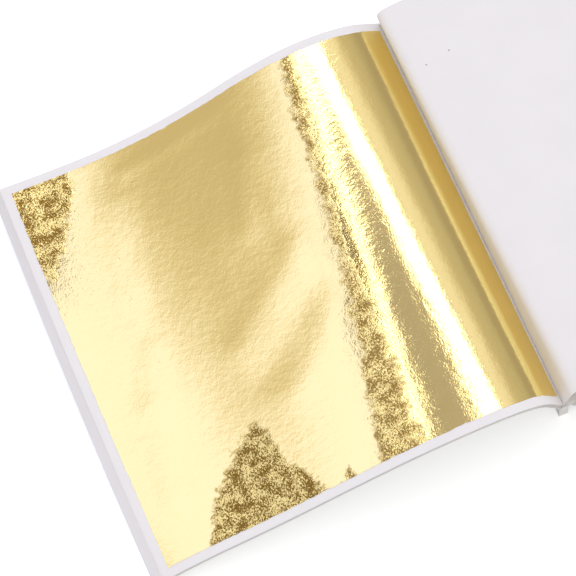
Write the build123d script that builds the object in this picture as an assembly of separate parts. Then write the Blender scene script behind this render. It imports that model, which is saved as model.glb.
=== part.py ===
"""An open booklet of metal leaf: square leaves between tissue sheets, bound along one edge.

X runs across the two open pages, Y along the spine and Z up from the table. The origin is under the
middle of the spine. All lengths are in millimetres and all angles in degrees.
"""

import os
from math import asin, cos, degrees, hypot, radians, sin

from build123d import *

# What the booklet holds
leaf_count = 25
open_leaf = 9
leaf_side = 140.0
leaf_inset = 1.5
outer_margin = 3.0
end_margin = 3.0

# Thicknesses and the air between the sheets
tissue_thick = 0.08
leaf_thick = 0.05
cover_thick = 0.30
sheet_gap = 0.045
bound_gap = 0.012

# The bound edge, and how far above it the pages part
bound_height = 7.4
bound_lift = 0.05
gutter_rise = 3.55
gutter_gap = 0.03

# How the open pages stand: places along the page, and the slope at each, at both ends of the spine
left_knot_shares = (0, 0.055, 0.111, 0.194, 0.311, 0.45, 0.623, 0.817, 1)
left_far_slopes = (36, 36, 17, 3, -15, -24.5, -12.5)
left_near_slopes = (58, 58, 20, 2, -5, -12, -15, -8)
left_far_curl = 2.0
right_far_knot_shares = (0, 0.038, 0.073, 0.138, 0.222, 0.346, 0.519, 0.727, 1)
right_near_knot_shares = (0, 0.048, 0.076, 0.138, 0.222, 0.346, 0.519, 0.727, 1)
right_far_slopes = (98, 96, 8, 6, 0, -8, -13, -10)
right_near_slopes = (72, 72, 12, 5, 0, -8, -11, -9)
right_page_rest = 0.4

# How the closed stack folds down beside the spine and lies on the table
fold_radius = 0.4
fold_start_slope = 20
fold_down_slope = -62
foot_inner_radius = 2.8

# Wire staples
staple_wire = 0.6
staple_crown = 12.0
staple_clinch = 4.5
staple_spread = 82.0
staple_bend = 0.5
staple_standoff = 0.22
staple_hole_clearance = 0.02

# How far a cutter goes past what it cuts, and the turn below which an arc is a straight line
overrun = 1.0
least_turn = 1e-9

# How often the near end of the left half is set down again until it meets the table
settle_rounds = 12

# Strips that a leaf's curved surface is made of, from one end of the spine to the other
leaf_strips = 5

# What follows from these
page_height = leaf_side + 2 * end_margin
page_width = leaf_inset + leaf_side + outer_margin
tissue_count = leaf_count + 1
leaf_pitch = tissue_thick + leaf_thick + 2 * sheet_gap
bound_pitch = tissue_thick + bound_gap
bound_width = tissue_count * bound_pitch + bound_gap + 2 * cover_thick
bound_left = -bound_width / 2
bound_top = bound_height + bound_lift
gutter_height = bound_top + gutter_rise
gutter_x = bound_left + cover_thick + bound_gap + open_leaf * bound_pitch
left_depth = (open_leaf - 1) * leaf_pitch + tissue_thick + sheet_gap + cover_thick
stack_depth = cover_thick + (tissue_count - open_leaf - 1) * leaf_pitch
sheet_width = gutter_rise + page_width

# Where the sheets' profiles stand along the spine: at the ends of the pages and of the leaves, and between
leaf_places = [leaf_side * (1 / 2 - j / leaf_strips) for j in range(leaf_strips + 1)]
page_places = [page_height / 2] + leaf_places + [-page_height / 2]


def along(station, slope_end, length, share):
    """The point and slope a share of the way along an arc that starts at a station."""
    (out, up), slope = station
    turn = (slope_end - slope) * share
    run = length * share
    if abs(turn) < least_turn:
        return (out + run * cos(slope), up + run * sin(slope)), slope
    radius = run / turn
    return (
        out + radius * (sin(slope + turn) - sin(slope)),
        up - radius * (cos(slope + turn) - cos(slope)),
    ), slope + turn


def profile(start, lengths, slopes, heights=()):
    """A chain of arcs. Where the slopes run out, each arc takes the slope that ends it at a height."""
    radian = [radians(s) for s in slopes]
    stations = [(start, radian[0])]
    for length, slope in zip(lengths, radian[1:]):
        stations.append(along(stations[-1], slope, length, 1))
    for length, height in zip(lengths[len(slopes) - 1:], heights):
        (_, up), slope = stations[-1]
        stations.append(along(stations[-1], 2 * asin((height - up) / length) - slope, length, 1))
    return stations, list(lengths)


def page_profile(start, shares, slopes, heights):
    """A page's profile from the gutter to its outer edge."""
    lengths = [(b - a) * page_width for a, b in zip(shares, shares[1:])]
    return profile(start, lengths, slopes, heights)


def between(far, near):
    """The paths at the page places, from the one at the far end of the spine to the one at the near end."""
    paths = []
    for place in page_places:
        share = 1 / 2 - place / page_height
        lengths = [(1 - share) * a + share * b for a, b in zip(far[1], near[1])]
        slopes = [degrees((1 - share) * a[1] + share * b[1]) for a, b in zip(far[0], near[0])]
        paths.append(profile(far[0][0][0], lengths, slopes))
    return paths


def stretch(path, level, begin, end):
    """The arcs of a path between two distances, measured along the line that lies level above it.

    Past the end of the path its last arc goes on.
    """
    stations, lengths = path
    pieces = []
    passed = 0
    for j, length in enumerate(lengths):
        here, there = stations[j], stations[j + 1]
        own = length + level * (here[1] - there[1])
        low = max(begin - passed, 0) / own
        high = (end - passed) / own
        if j < len(lengths) - 1:
            high = min(high, 1)
        if low < 1 and high > 0:
            pieces.append([along(here, there[1], length, f) for f in (low, (low + high) / 2, high)])
        passed += own
    return pieces


def raised(station, level):
    """The point that lies level above a station, square to the path."""
    (out, up), slope = station
    return out - level * sin(slope), up + level * cos(slope)


def edge_run(pieces, level, to_point):
    """The edges of one face of a sheet."""
    edges = []
    for first, middle, last in pieces:
        a, m, b = (to_point(raised(s, level)) for s in (first, middle, last))
        straight = abs(first[1] - last[1]) < least_turn
        edges.append(Line(a, b) if straight else ThreePointArc(a, m, b))
    return edges


def section(pieces, low, high, side, place_y, roots=None):
    """A sheet's cut end as a face: side is -1 for the left page and 1 for the right."""

    def to_point(p):
        return Vector(gutter_x + side * p[0], place_y, p[1])

    under = edge_run(pieces, low, to_point)
    over = edge_run(pieces, high, to_point)
    start_under, start_over = under[0] @ 0, over[0] @ 0
    edges = under + [Line(under[-1] @ 1, over[-1] @ 1)] + over
    if roots:
        root_under, root_over = (to_point(p) for p in roots)
        edges += [Line(root_under, start_under), Line(root_over, start_over)]
        start_under, start_over = root_under, root_over
    edges.append(Line(start_under, start_over))
    return make_face(Wire([e.edge() for e in edges]))


def sheet(paths, places, low, high, side, begin, end, roots=None):
    """A sheet between two levels of the paths that stand at some places along the spine."""
    middle = (low + high) / 2
    faces = [
        section(stretch(path, middle, begin, end), low, high, side, place, roots)
        for path, place in zip(paths, places)
    ]
    if paths[0] is paths[-1]:
        return extrude(faces[-1], amount=places[0] - places[-1], dir=(0, 1, 0))
    return loft(faces, ruled=True)


def free_length(path, low, roots):
    """The length of a bound sheet from the start of its path to its outer edge."""
    out, up = raised(path[0][0], low)
    return sheet_width - hypot(out - roots[0][0], up - bound_top)


def bound_sheet(paths, low, high, side, roots):
    """A sheet that is held in the bound edge."""
    return sheet(paths, page_places, low, high, side, 0, free_length(paths[0], low, roots), roots)


def leaf(paths, low, side, begin):
    """A metal leaf, which is shorter along the spine than the page that it lies on."""
    return sheet(paths[1:-1], leaf_places, low, low + leaf_thick, side, begin, begin + leaf_side)


def roots_at(outer, thick, side):
    """A sheet's two corners at the bound edge, its lower face first."""
    return [(side * (x - gutter_x), bound_top) for x in (outer, outer - side * thick)]


def tissue_roots(number, side):
    """A tissue's two corners at the bound edge, its lower face first."""
    left = bound_left + cover_thick + bound_gap + (number - 1) * bound_pitch
    return roots_at(left if side < 0 else left + tissue_thick, tissue_thick, side)


# The left half, under and on the open page
gutter_start = (gutter_gap, gutter_height)
front_roots = roots_at(bound_left, cover_thick, -1)


def settled(shares, slopes, length):
    """A page's profile whose front cover, of a given length, comes down to the table at its outer edge."""
    landing = left_depth
    for _ in range(settle_rounds):
        path = page_profile(gutter_start, shares, slopes, [landing])
        edge = stretch(path, -left_depth, 0, length)[-1][-1]
        landing -= raised(edge, -left_depth)[1]
    return path


left_far = page_profile(
    gutter_start, left_knot_shares, left_far_slopes, [left_depth, left_depth + left_far_curl]
)
left_near = settled(
    left_knot_shares, left_near_slopes, free_length(left_far, -left_depth, front_roots)
)
left_paths = between(left_far, left_near)


def left_tissue(number):
    """A tissue of the left half. The open page is the uppermost."""
    high = -(open_leaf - number) * leaf_pitch
    return bound_sheet(left_paths, high - tissue_thick, high, -1, tissue_roots(number, -1))


def left_leaf(number):
    """The metal leaf that lies on a tissue of the left half."""
    return leaf(left_paths, sheet_gap - (open_leaf - number) * leaf_pitch, -1, leaf_inset)


def front_cover():
    """The card under the left half."""
    return bound_sheet(left_paths, -left_depth, cover_thick - left_depth, -1, front_roots)


# The page that stands out of the gutter to the right
right_landing = stack_depth + right_page_rest
right_far = page_profile(gutter_start, right_far_knot_shares, right_far_slopes, [right_landing])
right_near = page_profile(gutter_start, right_near_knot_shares, right_near_slopes, [right_landing])
right_paths = between(right_far, right_near)


def right_page():
    """The tissue that faces the open leaf."""
    return bound_sheet(right_paths, -tissue_thick, 0, 1, tissue_roots(open_leaf + 1, 1))


# The closed stack under it, from the back cover up
fold_out = -bound_left - gutter_x + fold_radius
fold_slopes = [radians(s) for s in (fold_start_slope, fold_down_slope)]
fold_first = (fold_out - fold_radius * sin(fold_slopes[0]), bound_top + fold_radius * cos(fold_slopes[0]))
fold_length = fold_radius * (fold_slopes[0] - fold_slopes[1])
fold_end = bound_top + fold_radius * cos(fold_slopes[1])
foot_radius = stack_depth + foot_inner_radius
foot_drop = foot_radius * (1 - cos(fold_slopes[1]))
fall_length = (fold_end - foot_drop) / -sin(fold_slopes[1])
foot_length = -foot_radius * fold_slopes[1]
flat_length = sheet_width - fold_length - fall_length - foot_length
stack_path = profile(
    fold_first,
    [fold_length, fall_length, foot_length, flat_length],
    [fold_start_slope, fold_down_slope, fold_down_slope, 0, 0],
)
stack_paths = [stack_path] * len(page_places)


def stack_level(number):
    """The height of a tissue's lower face over the table, in the closed stack."""
    return cover_thick + sheet_gap + (tissue_count - number) * leaf_pitch


def stack_tissue(number):
    """A tissue of the closed stack."""
    low = stack_level(number)
    return bound_sheet(stack_paths, low, low + tissue_thick, 1, tissue_roots(number, 1))


def stack_leaf(number):
    """The metal leaf that lies on a tissue of the closed stack."""
    low = stack_level(number + 1) + tissue_thick + sheet_gap
    return leaf(stack_paths, low, 1, gutter_rise + leaf_inset)


def back_cover():
    """The card under the closed stack."""
    return bound_sheet(stack_paths, 0, cover_thick, 1, roots_at(-bound_left, cover_thick, 1))


# The bound edge
wire_radius = staple_wire / 2
staple_height = bound_height / 2
staple_spots = [side * staple_spread / 2 for side in (-1, 1)]
leg_spots = [spot + side * staple_crown / 2 for spot in staple_spots for side in (-1, 1)]


def bound_margins():
    """The bound edges of all the sheets and both covers, with the staples' holes."""
    block = Box(bound_width, page_height, bound_height, align=(Align.CENTER, Align.CENTER, Align.MIN))
    for spot in leg_spots:
        hole = Cylinder(wire_radius + staple_hole_clearance, bound_width + 2 * overrun)
        block -= Pos(0, spot, staple_height) * Rot(0, 90, 0) * hole
    return block


def staple(middle):
    """One wire staple: a crown on the left, two legs and their ends bent over on the right."""
    reach = bound_width / 2 + staple_standoff + wire_radius
    half = staple_crown / 2
    corners = [
        (reach, middle - half + staple_clinch),
        (reach, middle - half),
        (-reach, middle - half),
        (-reach, middle + half),
        (reach, middle + half),
        (reach, middle + half - staple_clinch),
    ]
    path = FilletPolyline(*[(x, y, staple_height) for x, y in corners], radius=staple_bend)
    ring = Plane(origin=path @ 0, z_dir=path % 0) * Circle(wire_radius)
    return sweep(ring, path=path)


def staples():
    """Both staples."""
    return Compound(children=[staple(spot) for spot in staple_spots])


nodes = {
    "bound_margins": bound_margins(),
    "staples": staples(),
    "front_cover": front_cover(),
    "back_cover": back_cover(),
}
for n in range(1, tissue_count + 1):
    if n <= open_leaf:
        made = left_tissue(n)
    elif n == open_leaf + 1:
        made = right_page()
    else:
        made = stack_tissue(n)
    nodes[f"tissue_{n:02d}"] = made
for n in range(1, leaf_count + 1):
    nodes[f"gold_leaf_{n:02d}"] = left_leaf(n) if n <= open_leaf else stack_leaf(n)

os.makedirs("parts", exist_ok=True)
for name, shape in nodes.items():
    export_step(shape, f"parts/{name}.step")
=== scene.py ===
from math import asin, cos, degrees, exp, hypot, radians, sin
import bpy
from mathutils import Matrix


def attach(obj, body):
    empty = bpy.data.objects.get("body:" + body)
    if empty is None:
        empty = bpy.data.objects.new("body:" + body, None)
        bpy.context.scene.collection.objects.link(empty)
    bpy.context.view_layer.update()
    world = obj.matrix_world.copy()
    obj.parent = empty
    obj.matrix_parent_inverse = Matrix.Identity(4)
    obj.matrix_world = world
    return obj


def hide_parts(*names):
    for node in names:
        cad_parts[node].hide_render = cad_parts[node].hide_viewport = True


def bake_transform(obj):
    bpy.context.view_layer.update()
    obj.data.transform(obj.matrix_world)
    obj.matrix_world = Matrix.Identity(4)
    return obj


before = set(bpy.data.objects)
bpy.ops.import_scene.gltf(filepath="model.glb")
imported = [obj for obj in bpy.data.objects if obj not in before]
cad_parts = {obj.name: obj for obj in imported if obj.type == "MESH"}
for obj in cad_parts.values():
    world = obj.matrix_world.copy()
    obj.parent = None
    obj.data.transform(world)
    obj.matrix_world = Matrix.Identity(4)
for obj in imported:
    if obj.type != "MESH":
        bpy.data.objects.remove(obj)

from types import SimpleNamespace

import bpy
from mathutils import Matrix, Vector, noise

bl_info = {
    "name": "Metal leaf booklet",
    "version": (1, 0, 0),
    "blender": (4, 5, 0),
    "location": "3D View > Sidebar > Booklet",
    "description": "An open booklet of metal leaves between tissue sheets",
    "category": "Add Mesh",
}

# A millimetre in metres. The booklet's shape is worked out in millimetres, and meshes are in metres
MM = 0.001

# How the open pages stand, as in the solids: places along the page, and the slope at each in degrees,
# rounded from a fit to the photo's outline or set one by one
LEFT_SHARES = (0, 0.055, 0.111, 0.194, 0.311, 0.45, 0.623, 0.817, 1)
LEFT_FAR_SLOPES = (36, 36, 17, 3, -15, -24.5, -12.5)
LEFT_NEAR_SLOPES = (58, 58, 20, 2, -5, -12, -15, -8)
LEFT_FAR_CURL = 2.0
RIGHT_FAR_SHARES = (0, 0.038, 0.073, 0.138, 0.222, 0.346, 0.519, 0.727, 1)
RIGHT_NEAR_SHARES = (0, 0.048, 0.076, 0.138, 0.222, 0.346, 0.519, 0.727, 1)
RIGHT_FAR_SLOPES = (98, 96, 8, 6, 0, -8, -13, -10)
RIGHT_NEAR_SLOPES = (72, 72, 12, 5, 0, -8, -11, -9)
RIGHT_REST = 0.4
FOLD_RADIUS = 0.4
FOLD_SLOPES = (20, -62)
FOOT_INNER_RADIUS = 2.8
SETTLE_ROUNDS = 12

# Distances along the sheets in mm: the left half by its distance from the middle of the spine, and the two
# open pages by theirs from the gutter. Points there are worked out, but nothing bends at them
OPEN_BEND = (3.0, 60.0)
FACING_BEND = (1.0, 60.0)

# The steepest angle between two faces that still look like one smooth sheet, in degrees
SMOOTH_ANGLE = 50

# The studio light: its colours, and the sky's colour along three directions
SKY_SCALE = 5.0
STRIP = (3.8, 3.9, 5.0)
SCREEN = (0.24, 0.20, 0.16)
BACKDROP = (1.0, 1.0, 1.0)
SKY_REST = (
    (0.00, 0.60, 0.60, 0.58),
    (0.10, 0.75, 0.75, 0.72),
    (0.16, 1.35, 1.35, 1.30),
    (0.30, 1.25, 1.25, 1.20),
    (0.38, 0.62, 0.62, 0.60),
    (0.55, 0.80, 0.80, 0.78),
    (0.72, 1.10, 1.10, 1.06),
    (1.00, 0.95, 0.95, 0.92),
)
SKY_LEFT = (
    (0.44, 1.22, 1.32, 2.35),
    (0.60, 1.18, 1.28, 2.25),
    (0.65, 0.96, 0.98, 1.40),
    (0.70, 0.76, 0.74, 0.88),
    (0.75, 0.66, 0.62, 0.70),
    (1.20, 0.60, 0.58, 0.66),
)
SKY_RIGHT = (
    (-0.40, 0.50, 0.49, 0.66),
    (-0.15, 0.50, 0.49, 0.66),
    (0.12, 0.55, 0.54, 0.72),
    (0.285, 0.26, 0.24, 0.20),
    (0.300, 0.26, 0.24, 0.20),
    (0.33, 1.02, 1.04, 1.45),
    (0.45, 0.95, 0.96, 1.25),
    (0.56, 0.64, 0.61, 0.70),
    (0.68, 0.56, 0.55, 0.62),
    (0.80, 0.45, 0.42, 0.48),
    (1.00, 0.46, 0.43, 0.48),
)

# Where the strips and the screen stand, by the direction they are seen in. A band is its low edge,
# its high edge and how soft the edges are
BEND_START = 0.36
SCREEN_BEND = 11.0
STRIP_BEND = 21.0
LEFT_SLANT = 0.42
SIDE_CHANGE = (-0.23, -0.19)
SCREEN_BAND = (-0.315, -0.205, 0.008)
BENT_STRIP_LEFT = (-0.215, -0.20)
BENT_STRIP_RIGHT = (-0.145, -0.165)
STRAIGHT_STRIP_BAND = (0.115, 0.290, 0.012)
STUDIO_BAND = (0.22, 0.62, 0.04)
STUDIO_RISE = (0.05, 0.30)

# The floor's half side and its depth under the table's level in metres, and how much it glows
FLOOR_REACH = 3.0
FLOOR_DEPTH = 0.0001
FLOOR_GLOW = 0.42

# Painted shade in the foil's crevices: how much of its red, green and blue is left where its crumpled places
# darken
CREVICE_SHADE_SHARES = (0.24, 0.17, 0.07)

# Two specks of dirt on the facing page: their size and places in mm, and how dark they are
SPECK_RADIUS = 0.28
SPECK_DEPTH = 8.0
SPECKS = ((14.5, 121.0), (23.2, 122.3))


# Sizes and colours


class BookletSizes(bpy.types.PropertyGroup):
    """What the booklet holds, and how large it is"""

    leaf_count: bpy.props.IntProperty(
        name="Leaves", description="Metal leaves in the booklet", default=25, min=2
    )
    open_leaf: bpy.props.IntProperty(
        name="Open leaf", description="The leaf that the booklet is open at", default=9, min=2
    )
    leaf_side: bpy.props.FloatProperty(
        name="Leaf side", description="Side of a square leaf",
        subtype="DISTANCE", default=140.0 * MM,
    )
    leaf_inset: bpy.props.FloatProperty(
        name="Leaf inset", description="From the gutter to a leaf",
        subtype="DISTANCE", default=1.5 * MM,
    )
    outer_margin: bpy.props.FloatProperty(
        name="Outer margin", description="From a leaf to the page's outer edge",
        subtype="DISTANCE", default=3.0 * MM,
    )
    end_margin: bpy.props.FloatProperty(
        name="End margin", description="From a leaf to the ends of the page",
        subtype="DISTANCE", default=3.0 * MM,
    )
    tissue_thick: bpy.props.FloatProperty(
        name="Tissue", description="Thickness of a tissue",
        subtype="DISTANCE", default=0.08 * MM,
    )
    leaf_thick: bpy.props.FloatProperty(
        name="Leaf", description="Thickness of a leaf",
        subtype="DISTANCE", default=0.05 * MM,
    )
    cover_thick: bpy.props.FloatProperty(
        name="Cover", description="Thickness of a cover",
        subtype="DISTANCE", default=0.30 * MM,
    )
    sheet_gap: bpy.props.FloatProperty(
        name="Sheet gap", description="Air between two sheets",
        subtype="DISTANCE", default=0.045 * MM,
    )
    bound_gap: bpy.props.FloatProperty(
        name="Bound gap", description="Air between two tissues at the bound edge",
        subtype="DISTANCE", default=0.012 * MM,
    )
    bound_height: bpy.props.FloatProperty(
        name="Bound height", description="Height of the bound edge",
        subtype="DISTANCE", default=7.4 * MM,
    )
    bound_lift: bpy.props.FloatProperty(
        name="Bound lift", description="From the bound edge to the loose sheets",
        subtype="DISTANCE", default=0.05 * MM,
    )
    gutter_rise: bpy.props.FloatProperty(
        name="Gutter rise", description="From the bound edge to where the pages part",
        subtype="DISTANCE", default=3.55 * MM,
    )
    gutter_gap: bpy.props.FloatProperty(
        name="Gutter gap", description="Between a page and the middle of the gutter",
        subtype="DISTANCE", default=0.03 * MM,
    )


class FoilLook(bpy.types.PropertyGroup):
    """The metal leaf's colour and how crumpled it is"""

    colour: bpy.props.FloatVectorProperty(
        name="Foil", description="Colour of the metal leaf",
        subtype="COLOR", size=3, default=(0.94, 0.735, 0.25),
    )
    roughness: bpy.props.FloatProperty(
        name="Roughness", description="How blurred the foil's reflections are",
        subtype="FACTOR", default=0.06, min=0, max=1,
    )
    grain: bpy.props.FloatProperty(
        name="Grain", description="Height of the foil's finest bumps",
        subtype="DISTANCE", default=0.021 * MM,
    )
    wave: bpy.props.FloatProperty(
        name="Waves", description="Height of the foil's soft waves",
        subtype="DISTANCE", default=0.08 * MM,
    )
    crumple: bpy.props.FloatProperty(
        name="Crumple", description="Height of the creases in its crumpled places",
        subtype="DISTANCE", default=0.17 * MM,
    )
    outer_tilt: bpy.props.FloatProperty(
        name="Outer tilt", description="How far the foil leans outwards beyond its middle",
        subtype="ANGLE", default=0.14,
    )


class PaperLook(bpy.types.PropertyGroup):
    """The colours of the tissue, the card, the wire and the floor"""

    tissue: bpy.props.FloatVectorProperty(
        name="Tissue", description="Colour of the tissue",
        subtype="COLOR", size=3, default=(0.84, 0.805, 0.775),
    )
    card: bpy.props.FloatVectorProperty(
        name="Card", description="Colour of the covers",
        subtype="COLOR", size=3, default=(0.78, 0.76, 0.77),
    )
    wire: bpy.props.FloatVectorProperty(
        name="Wire", description="Colour of the staples",
        subtype="COLOR", size=3, default=(0.62, 0.62, 0.63),
    )
    floor: bpy.props.FloatVectorProperty(
        name="Floor", description="Colour of the floor",
        subtype="COLOR", size=3, default=(0.80, 0.80, 0.80),
    )


# The shape of a page


def in_millimetres(group):
    """The values of the booklet's sizes, with each length in millimetres."""
    values = {name: getattr(group, name) for name in group.__annotations__}
    return SimpleNamespace(**{k: v / MM if isinstance(v, float) else v for k, v in values.items()})


def along(station, slope_end, length, share):
    """The point and slope a share of the way along an arc that starts at a station."""
    (out, up), slope = station
    turn = (slope_end - slope) * share
    run = length * share
    if abs(turn) < 1e-9:
        return (out + run * cos(slope), up + run * sin(slope)), slope
    radius = run / turn
    return (
        out + radius * (sin(slope + turn) - sin(slope)),
        up - radius * (cos(slope + turn) - cos(slope)),
    ), slope + turn


def profile(start, lengths, slopes, heights=()):
    """A chain of arcs. Where the slopes run out, each arc takes the slope that ends it at a height."""
    radian = [radians(s) for s in slopes]
    stations = [(start, radian[0])]
    for length, slope in zip(lengths, radian[1:]):
        stations.append(along(stations[-1], slope, length, 1))
    for length, height in zip(lengths[len(slopes) - 1:], heights):
        (_, up), slope = stations[-1]
        stations.append(along(stations[-1], 2 * asin((height - up) / length) - slope, length, 1))
    return stations, list(lengths)


def raised(station, level):
    """The point that lies level above a station, square to the path."""
    (out, up), slope = station
    return out - level * sin(slope), up + level * cos(slope)


def station_at(path, level, distance):
    """The station at a distance along the line that lies level above a path."""
    stations, lengths = path
    for j, length in enumerate(lengths):
        here, there = stations[j], stations[j + 1]
        own = length + level * (here[1] - there[1])
        if distance <= own or j == len(lengths) - 1:
            return along(here, there[1], length, distance / own)
        distance -= own


class Booklet:
    """The booklet's shape, worked out from its sizes."""

    def __init__(self, sizes):
        self.sizes = s = in_millimetres(sizes)
        self.page_height = s.leaf_side + 2 * s.end_margin
        self.page_width = s.leaf_inset + s.leaf_side + s.outer_margin
        self.tissue_count = s.leaf_count + 1
        self.pitch = s.tissue_thick + s.leaf_thick + 2 * s.sheet_gap
        self.bound_pitch = s.tissue_thick + s.bound_gap
        self.bound_width = self.tissue_count * self.bound_pitch + s.bound_gap + 2 * s.cover_thick
        self.bound_left = -self.bound_width / 2
        self.bound_top = s.bound_height + s.bound_lift
        self.gutter_height = self.bound_top + s.gutter_rise
        self.gutter_x = self.bound_left + s.cover_thick + s.bound_gap + s.open_leaf * self.bound_pitch
        self.left_depth = (s.open_leaf - 1) * self.pitch + s.tissue_thick + s.sheet_gap + s.cover_thick
        self.stack_depth = s.cover_thick + (self.tissue_count - s.open_leaf - 1) * self.pitch
        self.sheet_width = s.gutter_rise + self.page_width
        self.start = (s.gutter_gap, self.gutter_height)
        self.left = self.left_profiles()
        landing = [self.stack_depth + RIGHT_REST]
        self.right = (
            self.page_profile(RIGHT_FAR_SHARES, RIGHT_FAR_SLOPES, landing),
            self.page_profile(RIGHT_NEAR_SHARES, RIGHT_NEAR_SLOPES, landing),
        )
        self.stack = (self.stack_profile(),) * 2

    def page_profile(self, shares, slopes, heights):
        """A page's profile, from its knots as shares of the page's width and the slope at each."""
        lengths = [(b - a) * self.page_width for a, b in zip(shares, shares[1:])]
        return profile(self.start, lengths, slopes, heights)

    def left_profiles(self):
        """The left page's profiles at the far and near ends, with the cover set down on the table."""
        depth = self.left_depth
        far = self.page_profile(LEFT_SHARES, LEFT_FAR_SLOPES, [depth, depth + LEFT_FAR_CURL])
        length = self.free_length(far, -depth, self.cover_roots(-1))
        landing = depth
        for _ in range(SETTLE_ROUNDS):
            near = self.page_profile(LEFT_SHARES, LEFT_NEAR_SLOPES, [landing])
            landing -= raised(station_at(near, -depth, length), -depth)[1]
        return far, near

    def stack_profile(self):
        """The profile of the closed sheets, which fold down beside the bound edge and lie on the table."""
        first, down = (radians(s) for s in FOLD_SLOPES)
        out = -self.bound_left - self.gutter_x + FOLD_RADIUS
        start = (out - FOLD_RADIUS * sin(first), self.bound_top + FOLD_RADIUS * cos(first))
        foot_radius = self.stack_depth + FOOT_INNER_RADIUS
        fold = FOLD_RADIUS * (first - down)
        foot = -foot_radius * down
        fall = (self.bound_top + FOLD_RADIUS * cos(down) - foot_radius * (1 - cos(down))) / -sin(down)
        flat = self.sheet_width - fold - fall - foot
        return profile(start, [fold, fall, foot, flat], [*FOLD_SLOPES, FOLD_SLOPES[1], 0, 0])

    def cover_roots(self, side):
        """A cover's two corners at the bound edge, its lower face first."""
        outer = self.bound_left * -side
        return self.roots_at(outer, self.sizes.cover_thick, side)

    def roots_at(self, outer, thick, side):
        """A sheet's two corners at the bound edge, from the place of its outer face."""
        return [(side * (x - self.gutter_x), self.bound_top) for x in (outer, outer - side * thick)]

    def tissue_roots(self, number, side):
        """A tissue's two corners at the bound edge, its lower face first."""
        s = self.sizes
        left = self.bound_left + s.cover_thick + s.bound_gap + (number - 1) * self.bound_pitch
        return self.roots_at(left if side < 0 else left + s.tissue_thick, s.tissue_thick, side)

    def free_length(self, path, low, roots):
        """The length of a bound sheet from the start of its path to its outer edge."""
        out, up = raised(path[0][0], low)
        return self.sheet_width - hypot(out - roots[0][0], up - self.bound_top)

    def path_at(self, paths, y):
        """The profile at a place along the spine."""
        far, near = paths
        share = 1 / 2 - y / self.page_height
        lengths = [(1 - share) * a + share * b for a, b in zip(far[1], near[1])]
        slopes = [degrees((1 - share) * a[1] + share * b[1]) for a, b in zip(far[0], near[0])]
        return profile(far[0][0][0], lengths, slopes)

    def from_gutter(self, distance):
        """The point in metres that lies a number of millimetres to the right of the gutter."""
        return Vector((MM * (self.gutter_x + distance), 0, MM * self.gutter_height))

    def uv_size(self):
        """The size of a page in mm, for a material that follows its UV map."""
        return self.page_width, self.page_height


def booklet():
    """The booklet at the sizes that the scene holds."""
    return Booklet(bpy.context.scene.booklet_sizes)


# Meshes


def steps(begin, end, count):
    """Evenly spaced numbers from begin to end."""
    return [begin + (end - begin) * j / count for j in range(count + 1)]


def sheet_mesh(
    name, book, paths, side, low, high, begin, end, height, grid, roots=None, relief=None, edge=None
):
    """A thin closed sheet between two levels of a pair of profiles.

    grid is the number of steps along the page and along the spine. roots are its two corners at the
    bound edge, if it reaches that far. relief(distance, y) lifts the sheet, in mm, and
    edge(distance, y) moves a point of its outline.
    """
    columns, rows = grid
    middle = (low + high) / 2
    places = steps(height / 2, -height / 2, rows)
    distances = steps(begin, end, columns)
    layers = ([], [])
    uv = []
    for y in places:
        path = book.path_at(paths, y)
        points = [(roots, 0, y)] if roots else []
        for distance in distances:
            d, place = edge(distance, y) if edge else (distance, y)
            lift = relief(d, place) if relief else 0
            station = station_at(path, middle, d)
            points.append(([raised(station, level + lift) for level in (low, high)], d, place))
        for ends, d, place in points:
            for layer, (out, up) in zip(layers, ends):
                layer.append((MM * (book.gutter_x + side * out), MM * place, MM * up))
            uv.append((d / book.page_width, 1 / 2 + place / book.page_height))
    across = len(distances) + (1 if roots else 0)
    count = len(layers[0])
    faces = []
    for i in range(rows):
        for j in range(across - 1):
            a = i * across + j
            quad = (a, a + 1, a + across + 1, a + across)
            faces.append(quad[::-1] if side < 0 else quad)
            faces.append(tuple(count + v for v in (quad if side < 0 else quad[::-1])))
    rim = list(range(across))
    rim += [i * across + across - 1 for i in range(1, rows + 1)]
    rim += [rows * across + j for j in range(across - 2, -1, -1)]
    rim += [i * across for i in range(rows - 1, 0, -1)]
    for a, b in zip(rim, rim[1:] + rim[:1]):
        quad = (a, b, b + count, a + count)
        faces.append(quad if side < 0 else quad[::-1])
    mesh = bpy.data.meshes.new(name)
    mesh.from_pydata(layers[0] + layers[1], [], faces)
    mesh.polygons.foreach_set("use_smooth", [True] * len(faces))
    layer = mesh.uv_layers.new(name="page")
    spots = uv + uv
    layer.data.foreach_set("uv", [c for loop in mesh.loops for c in spots[loop.vertex_index]])
    mesh.update()
    mesh.set_sharp_from_angle(angle=radians(SMOOTH_ANGLE))
    piece = bpy.data.objects.new(name, mesh)
    bpy.context.scene.collection.objects.link(piece)
    return piece


def soft_noise(x, y, size, seed):
    """Smooth noise from -1 to 1 with features of a size, in mm."""
    return noise.noise(Vector((x / size, y / size, seed)))


# Node groups and materials


def new_group(name, inputs, outputs):
    """An empty shader node group with number sockets, and its two ends."""
    group = bpy.data.node_groups.new(name, "ShaderNodeTree")
    for label, kind, default in inputs:
        socket = group.interface.new_socket(label, in_out="INPUT", socket_type=kind)
        if default is not None:
            socket.default_value = default
    for label, kind in outputs:
        group.interface.new_socket(label, in_out="OUTPUT", socket_type=kind)
    return group, group.nodes.new("NodeGroupInput"), group.nodes.new("NodeGroupOutput")


def add_math(tree, operation, a, b=None, clamp=False):
    """A math node on two values, each a socket or a number."""
    node = tree.nodes.new("ShaderNodeMath")
    node.operation = operation
    node.use_clamp = clamp
    for socket, value in zip(node.inputs, (a, b)):
        if value is None:
            continue
        if isinstance(value, bpy.types.NodeSocket):
            tree.links.new(value, socket)
        else:
            socket.default_value = value
    return node.outputs[0]


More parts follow.
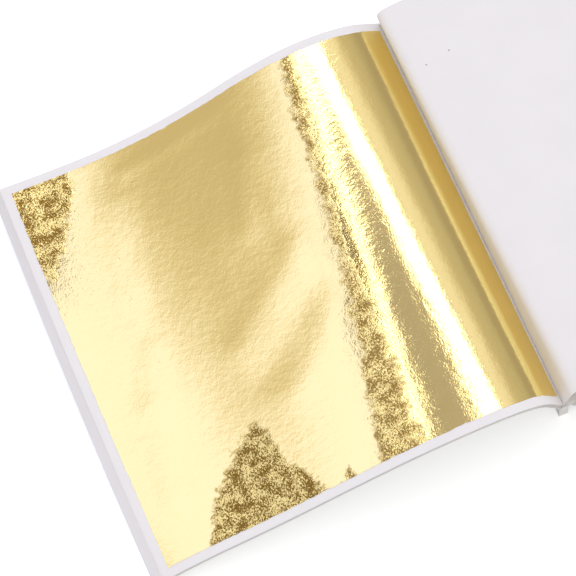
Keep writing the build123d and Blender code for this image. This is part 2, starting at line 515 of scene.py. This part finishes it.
def add_step(tree, value, low, high, kind="SMOOTHSTEP"):
    """A share that runs from 0 to 1 as a value goes from low to high."""
    node = tree.nodes.new("ShaderNodeMapRange")
    node.interpolation_type = kind
    node.inputs["From Min"].default_value = low
    node.inputs["From Max"].default_value = high
    tree.links.new(value, node.inputs["Value"])
    return node.outputs["Result"]


def add_band(tree, value, low, high, soft):
    """A share that is 1 between two values and 0 outside them."""
    up = add_step(tree, value, low - soft, low + soft)
    down = add_step(tree, value, high + soft, high - soft)
    return add_math(tree, "MULTIPLY", up, down)


def add_noise(tree, vector, scale, detail=2.0, rough=0.5, stretch=None, turn=0.0):
    """A noise texture, stretched along a direction."""
    if stretch:
        mapping = tree.nodes.new("ShaderNodeMapping")
        mapping.inputs["Rotation"].default_value = (0, 0, turn)
        mapping.inputs["Scale"].default_value = stretch
        tree.links.new(vector, mapping.inputs["Vector"])
        vector = mapping.outputs[0]
    node = tree.nodes.new("ShaderNodeTexNoise")
    node.noise_dimensions = "3D"
    node.inputs["Scale"].default_value = scale
    node.inputs["Detail"].default_value = detail
    node.inputs["Roughness"].default_value = rough
    tree.links.new(vector, node.inputs["Vector"])
    return node.outputs[0]


def foil_crinkle_group():
    """The height of a metal leaf's bumps, in mm, from a place in mm, and a share for the painted shade in
    its crevices.
    """
    name = "Foil crinkle"
    if name in bpy.data.node_groups:
        return bpy.data.node_groups[name]
    group, start, end = new_group(
        name,
        [
            ("Place", "NodeSocketVector", None),
            ("Crumpled", "NodeSocketFloat", 0.0),
            ("Grain", "NodeSocketFloat", 0.01),
            ("Waves", "NodeSocketFloat", 0.06),
            ("Crumple", "NodeSocketFloat", 0.09),
        ],
        [("Height", "NodeSocketFloat"), ("Crevice shade", "NodeSocketFloat")],
    )
    place = start.outputs["Place"]
    grain = add_noise(group, place, 1.9, 2.0, 0.6, (1.0, 0.6, 1.0))
    wave = add_noise(group, place, 0.11, 2.0, 0.5, (1.0, 0.5, 1.0))
    ripple = add_noise(group, place, 0.4, 2.0, 0.6)
    wave = add_math(group, "ADD", wave, add_math(group, "MULTIPLY", ripple, 0.5))
    crease = add_noise(group, place, 1.1, 4.0, 0.7)
    height = add_math(group, "MULTIPLY", grain, start.outputs["Grain"])
    height = add_math(group, "ADD", height, add_math(group, "MULTIPLY", wave, start.outputs["Waves"]))
    rough = add_math(group, "MULTIPLY", start.outputs["Crumple"], start.outputs["Crumpled"])
    height = add_math(group, "ADD", height, add_math(group, "MULTIPLY", crease, rough))
    group.links.new(height, end.inputs["Height"])
    # Painted shade: where the crumpled leaf's crevices are darkened
    folds = add_math(group, "MULTIPLY", add_noise(group, place, 0.24, 2.0), 0.45)
    pits = add_noise(group, place, 1.9, 3.0, 0.75, (1.0, 0.7, 1.0), radians(35))
    crevice_shade = add_step(group, add_math(group, "ADD", pits, folds), 0.78, 0.70)
    group.links.new(add_math(group, "MULTIPLY", crevice_shade, start.outputs["Crumpled"]), end.inputs["Crevice shade"])
    return group


def paper_fibre_group():
    """A paper's fibres: how light a place is, and the height of its bumps in mm."""
    name = "Paper fibres"
    if name in bpy.data.node_groups:
        return bpy.data.node_groups[name]
    group, start, end = new_group(
        name,
        [("Place", "NodeSocketVector", None), ("Height", "NodeSocketFloat", 0.01)],
        [("Lightness", "NodeSocketFloat"), ("Bump", "NodeSocketFloat")],
    )
    place = start.outputs["Place"]
    fine = add_noise(group, place, 2.2, 3.0, 0.6, (1.0, 0.35, 1.0), radians(12))
    cloud = add_noise(group, place, 0.07, 2.0, 0.5)
    bump = add_math(group, "MULTIPLY", fine, start.outputs["Height"])
    streaks = add_math(group, "MULTIPLY", fine, 0.3)
    light = add_math(group, "ADD", streaks, add_math(group, "MULTIPLY", cloud, 0.7))
    group.links.new(light, end.inputs["Lightness"])
    group.links.new(bump, end.inputs["Bump"])
    return group


def new_material(name):
    """A material with its Principled shader."""
    material = bpy.data.materials.new(name)
    material.use_nodes = True
    tree = material.node_tree
    shader = next(n for n in tree.nodes if n.type == "BSDF_PRINCIPLED")
    return material, tree, shader


def add_place(tree, uv_size=None):
    """The place on a piece in mm: on its page's UV map, or in the booklet's own frame."""
    coordinate = tree.nodes.new("ShaderNodeTexCoord")
    mapping = tree.nodes.new("ShaderNodeMapping")
    if uv_size:
        mapping.inputs["Scale"].default_value = (uv_size[0], uv_size[1], 1)
        tree.links.new(coordinate.outputs["UV"], mapping.inputs["Vector"])
    else:
        mapping.inputs["Scale"].default_value = (1 / MM, 1 / MM, 1 / MM)
        tree.links.new(coordinate.outputs["Object"], mapping.inputs["Vector"])
    return mapping.outputs[0]


def add_group(tree, group, **values):
    """A node group placed in a material, with links or numbers for its inputs."""
    node = tree.nodes.new("ShaderNodeGroup")
    node.node_tree = group
    for label, value in values.items():
        if isinstance(value, bpy.types.NodeSocket):
            tree.links.new(value, node.inputs[label])
        else:
            node.inputs[label].default_value = value
    return node


def add_bump(tree, shader, height, strength=1.0):
    """Bumps from a height in mm."""
    bump = tree.nodes.new("ShaderNodeBump")
    bump.inputs["Strength"].default_value = strength
    bump.inputs["Distance"].default_value = MM
    tree.links.new(height, bump.inputs["Height"])
    tree.links.new(bump.outputs["Normal"], shader.inputs["Normal"])


def add_mix(tree, factor, a, b):
    """A colour between two, by a factor."""
    mix = tree.nodes.new("ShaderNodeMix")
    mix.data_type = "RGBA"
    tree.links.new(factor, mix.inputs["Factor"])
    for label, colour in (("A", a), ("B", b)):
        socket = next(s for s in mix.inputs if s.name == label and s.type == "RGBA")
        socket.default_value = (*colour, 1)
    return next(s for s in mix.outputs if s.type == "RGBA")


def add_shade(tree, factor, a, b):
    """A colour between two, and darker than the first where the factor is below 0."""
    mix = add_mix(tree, factor, a, b)
    mix.node.clamp_factor = False
    return mix


def foil_material(name, look, uv_size=None, relief=False):
    """Metal leaf: a bright thin foil with fine grain, soft waves and crumpled places, whose crevices are
    darkened with painted shade.
    """
    if name in bpy.data.materials:
        return bpy.data.materials[name]
    material, tree, shader = new_material(name)
    place = add_place(tree, uv_size)
    heights = {"Grain": look.grain, "Waves": look.wave, "Crumple": look.crumple}
    values = {"Place": place, **{label: height / MM for label, height in heights.items()}}
    if relief:
        crumpled = tree.nodes.new("ShaderNodeAttribute")
        crumpled.attribute_name = "crumpled"
        values["Crumpled"] = crumpled.outputs["Fac"]
    crinkle = add_group(tree, foil_crinkle_group(), **values)
    height = crinkle.outputs["Height"]
    if relief:
        lean = tree.nodes.new("ShaderNodeAttribute")
        lean.attribute_name = "lean"
        height = add_math(tree, "ADD", height, lean.outputs["Fac"])
    if relief:
        # Painted shade: the foil's colour darkens in the crevices of its crumpled places
        crevice_shade = tuple(c * share for c, share in zip(look.colour, CREVICE_SHADE_SHARES))
        colour = add_mix(tree, crinkle.outputs["Crevice shade"], look.colour, crevice_shade)
        tree.links.new(colour, shader.inputs["Base Color"])
    else:
        shader.inputs["Base Color"].default_value = (*look.colour, 1)
    shader.inputs["Metallic"].default_value = 1
    shader.inputs["Roughness"].default_value = look.roughness
    add_bump(tree, shader, height)
    return material


def paper_material(name, colour, bump, rough, uv_size=None, specks=()):
    """Paper or card: a matt sheet with faint fibres and clouds, and maybe some specks of dirt."""
    if name in bpy.data.materials:
        return bpy.data.materials[name]
    material, tree, shader = new_material(name)
    place = add_place(tree, uv_size)
    fibres = add_group(tree, paper_fibre_group(), Place=place, Height=bump)
    lightness = fibres.outputs["Lightness"]
    for spot in specks:
        away = tree.nodes.new("ShaderNodeVectorMath")
        away.operation = "DISTANCE"
        away.inputs[1].default_value = (*spot, 0)
        tree.links.new(place, away.inputs[0])
        clean = add_step(tree, away.outputs["Value"], SPECK_RADIUS * 0.6, SPECK_RADIUS * 1.4)
        dirt = add_math(tree, "MULTIPLY", add_math(tree, "SUBTRACT", 1.0, clean), SPECK_DEPTH)
        lightness = add_math(tree, "SUBTRACT", lightness, dirt)
    darker = tuple(c * 0.93 for c in colour)
    tree.links.new(add_shade(tree, lightness, darker, colour), shader.inputs["Base Color"])
    shader.inputs["Roughness"].default_value = rough
    shader.inputs["Specular IOR Level"].default_value = 0.25
    add_bump(tree, shader, fibres.outputs["Bump"])
    return material


def tissue_material(name="White tissue", uv=True, specks=()):
    """The tissue's material, on a page's UV map or in the booklet's own frame."""
    book, look = booklet(), bpy.context.scene.booklet_paper
    size = book.uv_size() if uv else None
    return paper_material(name, look.tissue, 0.006, 0.72, size, specks)


def dress(piece, material):
    """Gives a piece one material in place of those it has."""
    piece.data.materials.clear()
    piece.data.materials.append(material)


def dress_node(node, material):
    """Gives a solid's object a material in each of its slots."""
    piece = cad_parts[node]
    for slot in piece.material_slots:
        slot.material = material


# The open page's own shape


def page_lift(distance, y, book):
    """How far the open page and its leaf stand proud of their smooth form, in mm."""
    broad = 0.5 + 0.5 * soft_noise(distance, y, 38, 3.1)
    fine = 0.5 + 0.5 * soft_noise(distance, y, 14, 8.7)
    off_gutter = min(distance / 20, 1)
    return off_gutter * (0.16 * broad + 0.05 * fine)


def inside_shape(x, y, corners):
    """How far inside a polygon a point lies, in mm, and negative outside."""
    nearest = 1e9
    odd = False
    for (ax, ay), (bx, by) in zip(corners, corners[1:] + corners[:1]):
        if (ay > y) != (by > y) and x < ax + (y - ay) * (bx - ax) / (by - ay):
            odd = not odd
        dx, dy = bx - ax, by - ay
        share = min(max(((x - ax) * dx + (y - ay) * dy) / (dx * dx + dy * dy), 0), 1)
        nearest = min(nearest, hypot(x - ax - share * dx, y - ay - share * dy))
    return nearest if odd else -nearest


# Places where the leaf is crumpled and its crevices get painted shade, as corners: distance from the gutter
# and place along the spine
CRUMPLED_PLACES = (
    [(143, 71), (122, 70), (122, 62), (128, 53), (134, 43), (139, 36), (143, 40)],
    [(98, -40), (92, -57), (85, -72), (104, -72), (127, -72), (118, -56), (106, -45)],
    [(76, -66), (74, -71), (80, -71)],
)
# The crumpled ridge beside the bright bands, whose crevices get painted shade: distance from the gutter,
# place along the spine, half width
RIDGE = (
    (37, 74, 1.9),
    (42, 40, 1.5),
    (45.5, 17, 1.2),
    (49, -4, 1.8),
    (51, -22, 3.0),
    (55, -44, 4.6),
    (60, -74, 7.0),
)


def ridge_inside(distance, y):
    """How far inside the crumpled ridge a point lies, in mm, and negative outside."""
    for (near, upper, wide), (far, lower, narrow) in zip(RIDGE, RIDGE[1:]):
        if lower <= y <= upper:
            share = (upper - y) / (upper - lower)
            return wide + share * (narrow - wide) - abs(distance - near - share * (far - near))
    return -10


def crumpled_at(distance, y):
    """How crumpled the leaf is at a place, from 0 to 1, which sets its creases and the painted shade in its
    crevices.
    """
    rag = 1.8 * soft_noise(distance, y, 3.0, 5.5) + 1.6 * soft_noise(distance, y, 1.2, 9.5)
    inside = max(inside_shape(distance, y, corners) for corners in CRUMPLED_PLACES)
    patch = min(max((inside + rag) / 1.6 + 0.5, 0), 1)
    ridge = min(max((ridge_inside(distance, y) + rag) / 2.0 + 0.5, 0), 1)
    bright = min(max((distance - 26) / 2, 0), 1) * min(max((60 - distance) / 4, 0), 1)
    return max(patch, 0.9 * ridge, 0.05 * bright)


# Soft folds of the leaf, which only its shading shows: both ends as distance and place, then half
# width and height
FOLDS = (
    ((92, -14, 62, 8), 6.0, 0.12),
    ((88, -28, 60, -6), 5.5, -0.10),
    ((80, -36, 56, -18), 6.0, 0.10),
    ((74, 22, 66, 44), 5.0, 0.08),
    ((118, 22, 112, 52), 6.0, 0.12),
    ((128, -20, 118, -2), 5.0, 0.10),
    ((104, 62, 68, 65), 3.5, 0.07),
    ((132, -52, 124, -20), 5.0, 0.12),
)


def folds_at(distance, y):
    """The height of the leaf's soft folds for its shading, in mm."""
    height = 0
    for (ax, ay, bx, by), width, rise in FOLDS:
        dx, dy = bx - ax, by - ay
        share = min(max(((distance - ax) * dx + (y - ay) * dy) / (dx * dx + dy * dy), 0), 1)
        away = hypot(distance - ax - share * dx, y - ay - share * dy) / width
        height += rise * exp(-away * away)
    return height


def lean_at(distance, tilt):
    """The height that leans the outer part of the foil outwards in its shading, in mm."""
    first, last = 62, 108
    share = min(max((distance - first) / (last - first), 0), 1)
    run = (last - first) * (share ** 3 - share ** 4 / 2)
    return -tilt * (run + max(distance - last, 0))


def ragged(book):
    """Moves the points of the leaf's outline in and out, as a torn soft edge."""
    s = book.sizes
    low, high, half = s.leaf_inset, s.leaf_inset + s.leaf_side, s.leaf_side / 2

    def move(distance, y):
        if distance <= low + 1e-6 or distance >= high - 1e-6:
            sign = 1 if distance > low + 1 else -1
            pull = 0.05 + 0.16 * soft_noise(y, 7, 6, 2.2) + 0.22 * soft_noise(y, 3, 1.7, 4.4)
            distance -= sign * max(pull, 0) * (1 if sign > 0 else 0.4)
        if abs(y) >= half - 1e-6:
            sign = 1 if y > 0 else -1
            pull = 0.05 + 0.16 * soft_noise(distance, 1, 6, 6.2) + 0.22 * soft_noise(distance, 9, 1.7, 1.4)
            y -= sign * max(pull, 0)
        return distance, y

    return move


# Operators


class BOOKLET_OT_stage(bpy.types.Operator):
    """Makes the camera, the light and the floor"""

    bl_idname = "booklet.stage"
    bl_label = "Stage"

    def execute(self, context):
        self.make_camera(context)
        self.make_light(context)
        self.make_floor(context)
        return {"FINISHED"}

    def make_camera(self, context):
        """A camera that looks down on the open pages, turned a little about its line of sight."""
        turn, rise, roll = radians(-8.99), radians(69.79), radians(-14.27)
        distance, width_angle = 0.700, radians(15.15)
        forward = Vector((-sin(turn) * cos(rise), cos(turn) * cos(rise), -sin(rise)))
        across = Vector((cos(turn), sin(turn), 0))
        upright = across.cross(forward)
        right = cos(roll) * across + sin(roll) * upright
        up = -sin(roll) * across + cos(roll) * upright
        target = Vector((-0.060362, 0, 0.010)) - 0.00327 * right - 0.00266 * up
        data = bpy.data.cameras.new("camera")
        data.angle = width_angle
        data.clip_start, data.clip_end = 0.01, 20
        camera = bpy.data.objects.new("camera", data)
        turned = Matrix((right, up, -forward)).transposed().to_4x4()
        camera.matrix_world = Matrix.Translation(target - distance * forward) @ turned
        context.scene.collection.objects.link(camera)
        context.scene.camera = camera

    def make_light(self, context):
        """A soft studio sky with two long strip lights, one of them bent, and a dark screen beside it."""
        world = bpy.data.worlds.new("studio")
        world.use_nodes = True
        tree = world.node_tree
        background = next(n for n in tree.nodes if n.type == "BACKGROUND")
        place = tree.nodes.new("ShaderNodeTexCoord")
        split = tree.nodes.new("ShaderNodeSeparateXYZ")
        tree.links.new(place.outputs["Generated"], split.inputs[0])
        x, y, z = split.outputs
        past = add_math(tree, "MAXIMUM", add_math(tree, "SUBTRACT", y, BEND_START), 0.0)
        bend = add_math(tree, "MULTIPLY", past, past)
        screen = add_math(tree, "SUBTRACT", x, add_math(tree, "MULTIPLY", bend, SCREEN_BEND))
        strip = add_math(tree, "SUBTRACT", x, add_math(tree, "MULTIPLY", bend, STRIP_BEND))
        slant = add_math(tree, "SUBTRACT", y, add_math(tree, "MULTIPLY", x, LEFT_SLANT))
        left = self.sky(tree, slant, SKY_LEFT)
        right = self.sky(tree, x, SKY_RIGHT)
        colour = self.blend_colour(tree, add_step(tree, screen, *SIDE_CHANGE), left, right)
        colour = self.blend_colour(tree, add_band(tree, screen, *SCREEN_BAND), colour, SCREEN)
        begin, end = add_step(tree, screen, *BENT_STRIP_LEFT), add_step(tree, strip, *BENT_STRIP_RIGHT)
        colour = self.blend_colour(tree, add_math(tree, "MULTIPLY", begin, end), colour, STRIP)
        colour = self.blend_colour(tree, add_band(tree, x, *STRAIGHT_STRIP_BAND), colour, STRIP)
        rest = self.sky(tree, z, SKY_REST)
        colour = self.blend_colour(tree, add_band(tree, y, *STUDIO_BAND), rest, colour)
        colour = self.blend_colour(tree, add_step(tree, z, *STUDIO_RISE), rest, colour)
        seen = tree.nodes.new("ShaderNodeLightPath").outputs["Is Camera Ray"]
        colour = self.blend_colour(tree, seen, colour, BACKDROP)
        tree.links.new(colour, background.inputs["Color"])
        background.inputs["Strength"].default_value = SKY_SCALE
        context.scene.world = world
        context.scene.view_settings.view_transform = "Standard"

    def sky(self, tree, value, stops):
        """A colour that runs through a list of (place, red, green, blue) along a direction."""
        first, last = stops[0][0], stops[-1][0]
        ramp = tree.nodes.new("ShaderNodeValToRGB")
        elements = ramp.color_ramp.elements
        while len(elements) < len(stops):
            elements.new(0.5)
        for element, (stop, *colour) in zip(elements, stops):
            element.position = (stop - first) / (last - first)
            element.color = (*(c / SKY_SCALE for c in colour), 1)
        tree.links.new(add_step(tree, value, first, last, "LINEAR"), ramp.inputs["Fac"])
        return ramp.outputs["Color"]

    def blend_colour(self, tree, factor, a, b):
        """A mix of two colours, each a socket or red, green and blue."""
        mix = tree.nodes.new("ShaderNodeMix")
        mix.data_type = "RGBA"
        tree.links.new(factor, mix.inputs["Factor"])
        for label, colour in (("A", a), ("B", b)):
            socket = next(s for s in mix.inputs if s.name == label and s.type == "RGBA")
            if isinstance(colour, bpy.types.NodeSocket):
                tree.links.new(colour, socket)
            else:
                socket.default_value = (*(c / SKY_SCALE for c in colour), 1)
        return next(s for s in mix.outputs if s.type == "RGBA")

    def make_floor(self, context):
        """A wide white floor that keeps the booklet's shadow."""
        look = context.scene.booklet_paper
        mesh = bpy.data.meshes.new("floor")
        around = ((-1, -1), (1, -1), (1, 1), (-1, 1))
        corners = [(x * FLOOR_REACH, y * FLOOR_REACH, -FLOOR_DEPTH) for x, y in around]
        mesh.from_pydata(corners, [], [(0, 1, 2, 3)])
        floor = bpy.data.objects.new("floor", mesh)
        context.scene.collection.objects.link(floor)
        material, tree, shader = new_material("White floor")
        shader.inputs["Base Color"].default_value = (*look.floor, 1)
        shader.inputs["Roughness"].default_value = 0.8
        shader.inputs["Specular IOR Level"].default_value = 0.1
        shader.inputs["Emission Color"].default_value = (1, 1, 1, 1)
        light = tree.nodes.new("ShaderNodeLightPath")
        seen = add_math(tree, "MAXIMUM", light.outputs["Is Camera Ray"], light.outputs["Is Glossy Ray"])
        seen = add_math(tree, "MAXIMUM", seen, light.outputs["Is Transmission Ray"])
        tree.links.new(add_math(tree, "MULTIPLY", seen, FLOOR_GLOW), shader.inputs["Emission Strength"])
        mesh.materials.append(material)


class BOOKLET_OT_left_sheets(bpy.types.Operator):
    """Makes the front cover and the sheets that lie under the open page"""

    bl_idname = "booklet.left_sheets"
    bl_label = "Left sheets"

    def execute(self, context):
        book = booklet()
        s = book.sizes
        foil = foil_material("Metal leaf edges", context.scene.booklet_foil, book.uv_size())
        paper = tissue_material()
        card = paper_material("Cover card", context.scene.booklet_paper.card, 0.012, 0.8, book.uv_size())
        cover = self.bound_sheet(book, "front_card", -book.left_depth, s.cover_thick, book.cover_roots(-1))
        self.settle(cover, book, card, "front_cover", "cover_card")
        for number in range(1, s.open_leaf):
            high = -(s.open_leaf - number) * book.pitch
            low = high - s.tissue_thick
            tissue = self.bound_sheet(
                book, f"under_tissue_{number}", low, s.tissue_thick, book.tissue_roots(number, -1)
            )
            self.settle(tissue, book, paper, f"tissue_{number:02d}", "tissue_paper")
            level = high + s.sheet_gap
            leaf = sheet_mesh(
                f"under_leaf_{number}", book, book.left, -1, level, level + s.leaf_thick,
                s.leaf_inset, s.leaf_inset + s.leaf_side, s.leaf_side, (64, 24), edge=ragged(book),
            )
            self.settle(leaf, book, foil, f"gold_leaf_{number:02d}", "metal_leaf")
        return {"FINISHED"}

    def bound_sheet(self, book, name, low, thick, roots):
        """A sheet held in the bound edge."""
        length = book.free_length(book.left[0], low, roots)
        return sheet_mesh(
            name, book, book.left, -1, low, low + thick, 0, length, book.page_height, (64, 12), roots=roots
        )

    def settle(self, piece, book, material, node, slot):
        """Dresses a sheet, bakes its place into its mesh and hides the solid that it stands for."""
        dress(piece, material)
        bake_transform(piece)
        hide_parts(node)


class BOOKLET_OT_open_page(bpy.types.Operator):
    """Makes the open page's tissue, from the bound edge to its outer edge"""

    bl_idname = "booklet.open_page"
    bl_label = "Open page"

    def execute(self, context):
        book = booklet()
        s = book.sizes
        roots = book.tissue_roots(s.open_leaf, -1)
        length = book.free_length(book.left[0], -s.tissue_thick, roots)
        page = sheet_mesh(
            "open_tissue", book, book.left, -1, -s.tissue_thick, 0, 0, length, book.page_height, (180, 120),
            relief=lambda d, y: page_lift(d, y, book),
        )
        lead = self.lead(book, roots)
        for piece in (page, lead):
            dress(piece, tissue_material())
            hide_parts(f"tissue_{s.open_leaf:02d}")
        first, last = (book.from_gutter(-distance) for distance in OPEN_BEND)
        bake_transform(page)
        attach(lead, "spine")
        return {"FINISHED"}

    def lead(self, book, roots):
        """The short straight part between the bound edge and the gutter, which stays in the spine."""
        s = book.sizes
        half = book.page_height / 2
        corners = []
        for y in (half, -half):
            start = book.path_at(book.left, y)[0][0]
            ends = [raised(start, level) for level in (-s.tissue_thick, 0)]
            for out, up in (roots[0], ends[0], ends[1], roots[1]):
                corners.append((MM * (book.gutter_x - out), MM * y, MM * up))
        faces = [(0, 1, 2, 3), (7, 6, 5, 4), (0, 4, 5, 1), (1, 5, 6, 2), (2, 6, 7, 3), (3, 7, 4, 0)]
        mesh = bpy.data.meshes.new("open_tissue_lead")
        mesh.from_pydata(corners, [], faces)
        layer = mesh.uv_layers.new(name="page")
        spots = [(0, 0), (0.025, 0), (0.025, 0), (0, 0), (0, 1), (0.025, 1), (0.025, 1), (0, 1)]
        layer.data.foreach_set("uv", [c for loop in mesh.loops for c in spots[loop.vertex_index]])
        piece = bpy.data.objects.new("open_tissue_lead", mesh)
        bpy.context.scene.collection.objects.link(piece)
        return piece


class BOOKLET_OT_open_leaf(bpy.types.Operator):
    """Makes the metal leaf that lies on the open page"""

    bl_idname = "booklet.open_leaf"
    bl_label = "Open leaf"

    def execute(self, context):
        book = booklet()
        s, look = book.sizes, context.scene.booklet_foil
        leaf = sheet_mesh(
            "open_leaf", book, book.left, -1, s.sheet_gap, s.sheet_gap + s.leaf_thick,
            s.leaf_inset, s.leaf_inset + s.leaf_side, s.leaf_side, (280, 280),
            relief=lambda d, y: page_lift(d, y, book), edge=ragged(book),
        )
        self.paint(leaf.data, book, look)
        dress(leaf, foil_material("Metal leaf", look, book.uv_size(), relief=True))
        first, last = (book.from_gutter(-distance) for distance in OPEN_BEND)
        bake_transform(leaf)
        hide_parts(f"gold_leaf_{s.open_leaf:02d}")
        return {"FINISHED"}

    def paint(self, mesh, book, look):
        """Stores how crumpled each point is, and how it leans, from its place on the page."""
        places = {}
        for loop, spot in zip(mesh.loops, mesh.uv_layers["page"].data):
            places[loop.vertex_index] = spot.uv
        crumpled = mesh.attributes.new("crumpled", "FLOAT", "POINT")
        lean = mesh.attributes.new("lean", "FLOAT", "POINT")
        for index, (u, v) in places.items():
            distance, y = u * book.page_width, (v - 1 / 2) * book.page_height
            crumpled.data[index].value = crumpled_at(distance, y)
            lean.data[index].value = lean_at(distance, look.outer_tilt) + folds_at(distance, y)


class BOOKLET_OT_facing_page(bpy.types.Operator):
    """Makes the tissue that faces the open leaf"""

    bl_idname = "booklet.facing_page"
    bl_label = "Facing page"

    def execute(self, context):
        book = booklet()
        s = book.sizes
        roots = book.tissue_roots(s.open_leaf + 1, 1)
        length = book.free_length(book.right[0], -s.tissue_thick, roots)
        page = sheet_mesh(
            "facing_tissue", book, book.right, 1, -s.tissue_thick, 0, 0, length, book.page_height, (180, 80),
            roots=roots, relief=lambda d, y: page_lift(d, y, book),
        )
        dress(page, tissue_material("White tissue with specks", specks=SPECKS))
        first, last = (book.from_gutter(distance) for distance in FACING_BEND)
        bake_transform(page)
        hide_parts(f"tissue_{s.open_leaf + 1:02d}")
        return {"FINISHED"}


class BOOKLET_OT_stack(bpy.types.Operator):
    """Dresses the closed sheets, the back cover, the bound edge and the staples"""

    bl_idname = "booklet.stack"
    bl_label = "Closed stack and spine"

    def execute(self, context):
        book = booklet()
        s, foil, paper = book.sizes, context.scene.booklet_foil, context.scene.booklet_paper
        tissue = tissue_material("White tissue in the stack", uv=False)
        leaf = foil_material("Metal leaf in the stack", foil)
        card = paper_material("Back card", paper.card, 0.012, 0.8)
        for number in range(s.open_leaf + 2, book.tissue_count + 1):
            dress_node(f"tissue_{number:02d}", tissue)
        for number in range(s.open_leaf + 1, s.leaf_count + 1):
            dress_node(f"gold_leaf_{number:02d}", leaf)
        dress_node("back_cover", card)
        dress_node("bound_margins", self.bound_material(book, paper))
        dress_node("staples", self.wire_material(paper))
        return {"FINISHED"}

    def bound_material(self, book, paper):
        """The edges of the bound sheets, side by side."""
        material, tree, shader = new_material("Bound sheet edges")
        place = add_place(tree)
        lines = tree.nodes.new("ShaderNodeTexWave")
        lines.wave_type, lines.bands_direction = "BANDS", "X"
        lines.inputs["Scale"].default_value = 0.314 / book.bound_pitch
        lines.inputs["Distortion"].default_value = 0.6
        lines.inputs["Detail"].default_value = 2
        tree.links.new(place, lines.inputs["Vector"])
        darker = tuple(c * 0.82 for c in paper.tissue)
        colour = add_mix(tree, lines.outputs["Fac"], darker, paper.tissue)
        tree.links.new(colour, shader.inputs["Base Color"])
        shader.inputs["Roughness"].default_value = 0.8
        add_bump(tree, shader, add_math(tree, "MULTIPLY", lines.outputs["Fac"], 0.01))
        return material

    def wire_material(self, paper):
        """Drawn steel wire."""
        material, tree, shader = new_material("Staple wire")
        streaks = add_noise(tree, add_place(tree), 6.0, 2.0, 0.5, (1.0, 0.15, 1.0))
        shade = add_mix(tree, streaks, tuple(c * 0.8 for c in paper.wire), paper.wire)
        tree.links.new(shade, shader.inputs["Base Color"])
        shader.inputs["Metallic"].default_value = 1
        shader.inputs["Roughness"].default_value = 0.35
        add_bump(tree, shader, add_math(tree, "MULTIPLY", streaks, 0.004))
        return material


class BOOKLET_PT_panel(bpy.types.Panel):
    """The booklet's sizes, colours and steps"""

    bl_label = "Booklet"
    bl_idname = "BOOKLET_PT_panel"
    bl_space_type = "VIEW_3D"
    bl_region_type = "UI"
    bl_category = "Booklet"

    def draw(self, context):
        scene = context.scene
        for title, group in (
            ("Sizes", scene.booklet_sizes),
            ("Metal leaf", scene.booklet_foil),
            ("Paper, wire and floor", scene.booklet_paper),
        ):
            box = self.layout.box()
            box.label(text=title)
            for name in group.__annotations__:
                box.prop(group, name)
        for operator in OPERATORS:
            self.layout.operator(operator.bl_idname)


OPERATORS = (
    BOOKLET_OT_stage,
    BOOKLET_OT_stack,
    BOOKLET_OT_left_sheets,
    BOOKLET_OT_open_page,
    BOOKLET_OT_open_leaf,
    BOOKLET_OT_facing_page,
)
GROUPS = (("booklet_sizes", BookletSizes), ("booklet_foil", FoilLook), ("booklet_paper", PaperLook))


def register():
    """Adds the settings, the operators and the panel."""
    for name, group in GROUPS:
        bpy.utils.register_class(group)
        setattr(bpy.types.Scene, name, bpy.props.PointerProperty(type=group))
    for made in OPERATORS + (BOOKLET_PT_panel,):
        bpy.utils.register_class(made)


def unregister():
    """Takes them away again."""
    for made in (BOOKLET_PT_panel,) + OPERATORS[::-1]:
        bpy.utils.unregister_class(made)
    for name, group in GROUPS[::-1]:
        delattr(bpy.types.Scene, name)
        bpy.utils.unregister_class(group)


def main():
    """Builds the whole scene."""
    register()
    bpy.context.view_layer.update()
    for operator in OPERATORS:
        package, name = operator.bl_idname.split(".")
        getattr(getattr(bpy.ops, package), name)()


if __name__ == "__main__":
    main()
